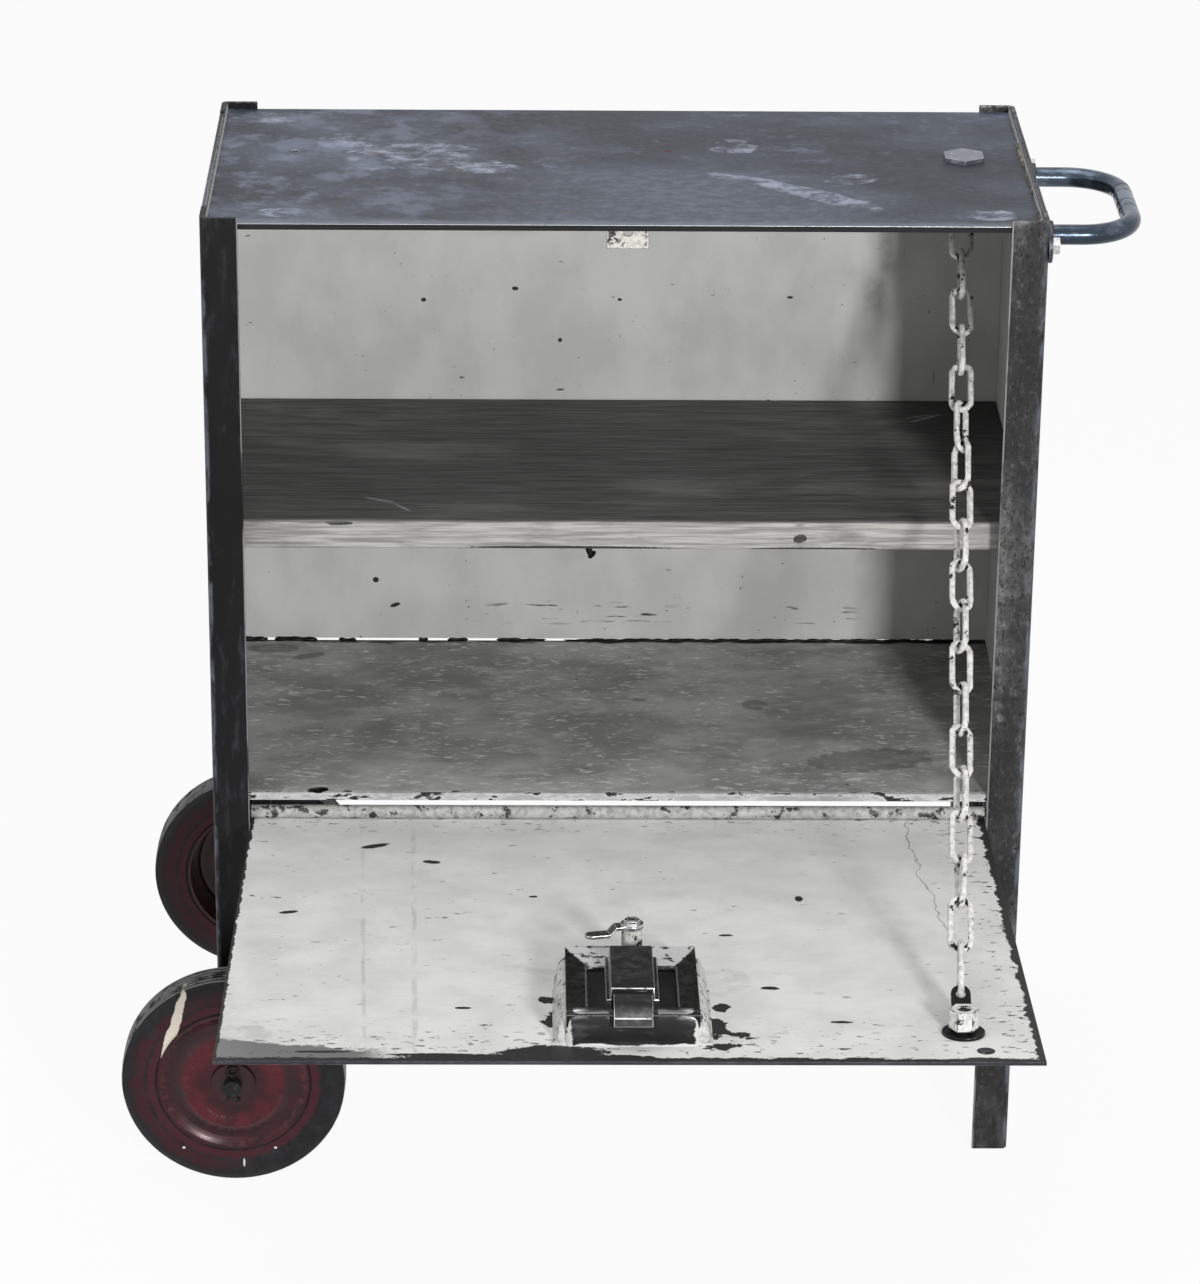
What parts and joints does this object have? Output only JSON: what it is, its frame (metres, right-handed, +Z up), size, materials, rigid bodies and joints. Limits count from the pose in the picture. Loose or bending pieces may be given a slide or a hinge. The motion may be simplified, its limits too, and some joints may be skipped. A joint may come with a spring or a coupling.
{
  "type": "rolling steel cabinet",
  "caption": "Angle-iron steel cabinet with a wooden shelf and a drop-down door on a chain, tipped onto its wheels by a side handle.",
  "frame": {"origin": "middle of the footprint's bounding box, on the ground", "axes": "+X to the handle side, +Y from the door side to the back, +Z up"},
  "size_m": [0.942, 1.011, 0.942],
  "materials": {
    "post_steel": "dark weathered steel, pitted, edges worn bright",
    "inner_sheet": "pale grey paint, chipped to dark steel",
    "top_paint": "slate blue-grey patina with pale clouds",
    "floor_paint": "worn mid-grey paint with chips",
    "shelf_wood": "dark weathered board",
    "bare_steel": "dull bare steel",
    "dark_steel": "dark steel with bright worn edges",
    "door_paint": "light grey paint, chipped to dark steel",
    "chain_paint": "whitish paint worn to dark steel",
    "wheel_red": "dark red paint, semi-gloss",
    "tyre_rubber": "black solid rubber"
  },
  "bodies": {
    "case": {"front_left_post": "post_steel", "rear_left_post": "post_steel", "front_right_post": "post_steel", "rear_right_post": "post_steel", "left_side_sheet": "inner_sheet", "right_side_sheet": "inner_sheet", "left_top_rail": "post_steel", "right_top_rail": "post_steel", "back_panel": "inner_sheet", "top_sheet": "top_paint", "striker_tab": "bare_steel", "floor_sheet": "floor_paint", "shelf_cleats": "bare_steel", "shelf_board": "shelf_wood", "hinge_rod": "bare_steel", "axle": "bare_steel", "axle_spacers": "bare_steel", "axle_washers": "bare_steel", "split_pins": "bare_steel", "handle_bar": "bare_steel", "handle_strap": "bare_steel", "handle_bolts": "bare_steel", "handle_nuts": "bare_steel", "chain_eye_bolt": "bare_steel", "chain_eye_nut": "bare_steel", "door_chain": "chain_paint"},
    "door": {"door_plate": "door_paint", "hinge_sleeve": "door_paint", "chain_anchor_bolt": "bare_steel", "chain_anchor_washer": "dark_steel", "chain_tab": "dark_steel", "chain_anchor_nut": "door_paint", "latch_pan": "dark_steel", "latch_housing": "dark_steel", "paddle_pin": "bare_steel", "paddle_spring": "bare_steel", "lock_barrel": "bare_steel", "lock_barrel_nut": "bare_steel"},
    "latch_bolt": {"latch_bolt": "dark_steel"},
    "paddle": {"latch_paddle": "dark_steel"},
    "lock_cam": {"lock_plug": "bare_steel", "lock_cam": "bare_steel", "lock_cam_nut": "bare_steel"},
    "front_wheel": {"front_wheel_disc": "wheel_red", "front_tyre": "tyre_rubber"},
    "rear_wheel": {"rear_wheel_disc": "wheel_red", "rear_tyre": "tyre_rubber"}
  },
  "joints": [
    {"name": "door_hinge", "type": "hinge", "parent": "case", "child": "door", "pos_m": [-0.00222, 0.07931, 0.3546], "axis": [-1, 0, 0], "range_deg": [0, 84.78], "deforming": ["door_chain"]},
    {"name": "paddle_turn", "type": "hinge", "parent": "door", "child": "paddle", "pos_m": [0.00077, -0.45005, 0.40115], "axis": [-1, 0, 0], "range_deg": [0, 30], "stiffness_Nm_per_rad": 0.35, "springref_deg": -34.38},
    {"name": "latch_bolt_slide", "type": "slide", "parent": "door", "child": "latch_bolt", "axis": [0, 0.9959, -0.091], "range_m": [0, 0.0106]},
    {"name": "lock_cam_turn", "type": "hinge", "parent": "door", "child": "lock_cam", "pos_m": [0.00278, -0.30262, 0.38166], "axis": [0, -0.091, -0.9959], "range_deg": [0, 90]},
    {"name": "front_wheel_turn", "type": "hinge", "parent": "case", "child": "front_wheel", "pos_m": [-0.36502, 0.02381, 0.106], "axis": [0, 1, 0], "continuous": true},
    {"name": "rear_wheel_turn", "type": "hinge", "parent": "case", "child": "rear_wheel", "pos_m": [-0.36502, 0.47281, 0.106], "axis": [0, 1, 0], "continuous": true}
  ],
  "couplings": [
    {"joint": "latch_bolt_slide", "follows": "paddle_turn", "m_per_rad": 0.0202}
  ]
}
